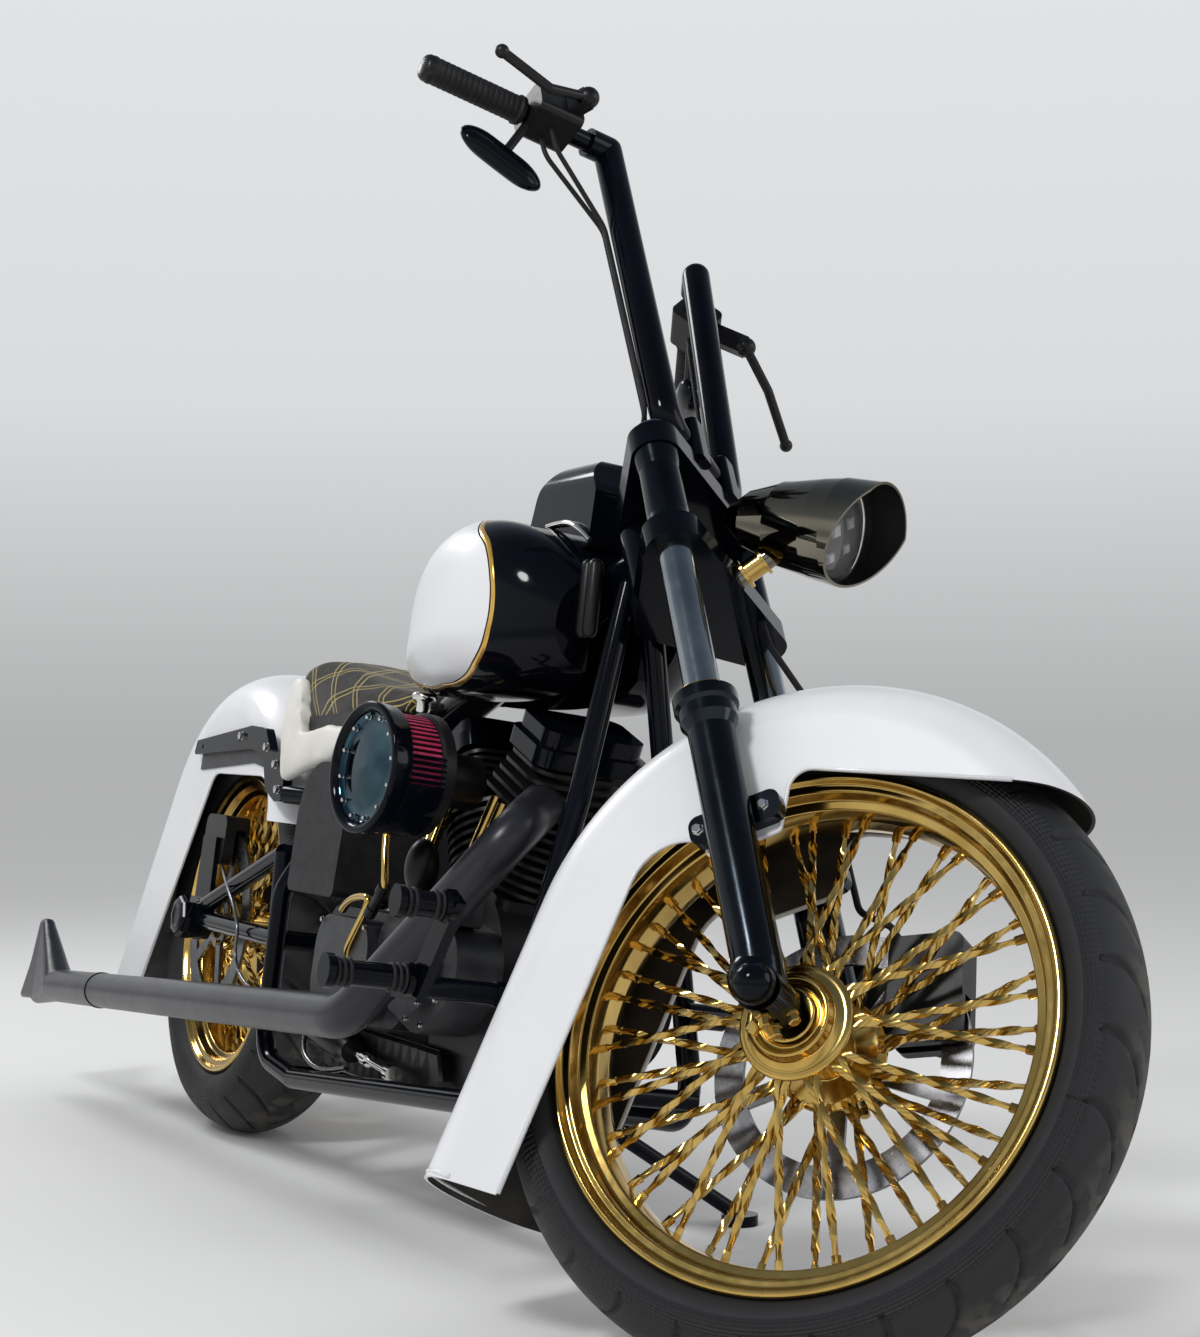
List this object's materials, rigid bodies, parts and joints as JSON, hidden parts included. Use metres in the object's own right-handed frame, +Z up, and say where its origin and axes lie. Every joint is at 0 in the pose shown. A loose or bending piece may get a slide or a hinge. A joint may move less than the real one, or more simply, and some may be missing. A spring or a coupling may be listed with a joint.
{
  "type": "chopper motorcycle",
  "caption": "Long low V-twin chopper on its side stand: tall T-bar, valanced fenders, wire wheels, torpedo headlamp, fishtail pipes; steering, wheels and stand move.",
  "frame": {"origin": "on the floor, under the middle of the machine's box as it stands", "axes": "+X forward along the machine, +Y to its left, +Z up; it leans to its left on the stand"},
  "size_m": [2.6118, 0.8327, 1.4858],
  "materials": {
    "white_paint": "gloss",
    "black_paint": "gloss",
    "gold_plate": "polished",
    "dark_chrome": "polished",
    "chrome": "polished",
    "engine_black": "wrinkle",
    "cast_grey": "satin",
    "tyre": "road worn",
    "pipe_black": "satin",
    "grip_rubber": "matte",
    "belt_rubber": "matte",
    "filter_red": "pleated",
    "seat_fabric": "tartan",
    "lens": "clear",
    "red_lens": "clear",
    "disc_steel": "brushed"
  },
  "bodies": {
    "machine": {"frame": "black_paint", "swingarm": "black_paint", "rear_axle": "chrome", "front_cylinder": "engine_black", "rear_cylinder": "engine_black", "rocker_boxes": "engine_black", "crankcase": "engine_black", "cam_cover": "cast_grey", "pushrod_tubes": "gold_plate", "transmission": "cast_grey", "primary_cover": "engine_black", "oil_tank": "engine_black", "air_cleaner": "dark_chrome", "air_filter": "filter_red", "fuel_tank": "black_paint", "tank_console": "black_paint", "seat": "white_paint", "fender_struts": "black_paint", "exhausts": "pipe_black", "foot_controls": "black_paint", "rear_caliper": "black_paint", "drive_belt": "belt_rubber", "horn": "dark_chrome", "regulator": "engine_black", "tail_lamp": "red_lens", "rear_fender": "white_paint"},
    "fork": {"fork_tubes": "chrome", "fork_sliders": "dark_chrome", "front_caliper": "black_paint", "front_axle": "chrome", "triple_trees": "black_paint", "fork_covers": "black_paint", "handlebar": "black_paint", "grips": "grip_rubber", "hand_controls": "black_paint", "mirrors": "black_paint", "cables": "belt_rubber", "headlamp": "dark_chrome", "headlamp_lens": "lens", "front_fender": "white_paint"},
    "front_wheel": {"front_tyre": "tyre", "front_rim": "gold_plate", "front_disc": "disc_steel"},
    "rear_wheel": {"rear_tyre": "tyre", "rear_rim": "gold_plate", "rear_disc": "disc_steel", "rear_pulley": "black_paint"},
    "stand": {"side_stand": "black_paint"}
  },
  "joints": [
    {"name": "steering", "type": "hinge", "parent": "machine", "child": "fork", "pos_m": [0.57959, 0.03066, 0.82704], "axis": [-0.5538, 0.1225, 0.8236], "range_deg": [-74, 0]},
    {"name": "front_wheel_spin", "type": "hinge", "parent": "fork", "child": "front_wheel", "pos_m": [0.99357, 0.00478, 0.32002], "axis": [-0.5019, 0.7401, -0.4476], "continuous": true},
    {"name": "rear_wheel_spin", "type": "hinge", "parent": "machine", "child": "rear_wheel", "pos_m": [-0.65283, -0.04493, 0.32937], "axis": [-0.001, 0.989, -0.1478], "continuous": true},
    {"name": "side_stand", "type": "hinge", "parent": "machine", "child": "stand", "pos_m": [0.34585, 0.09551, 0.12585], "axis": [0.118, 0.5559, 0.8228], "range_deg": [0, 92.1]}
  ]
}
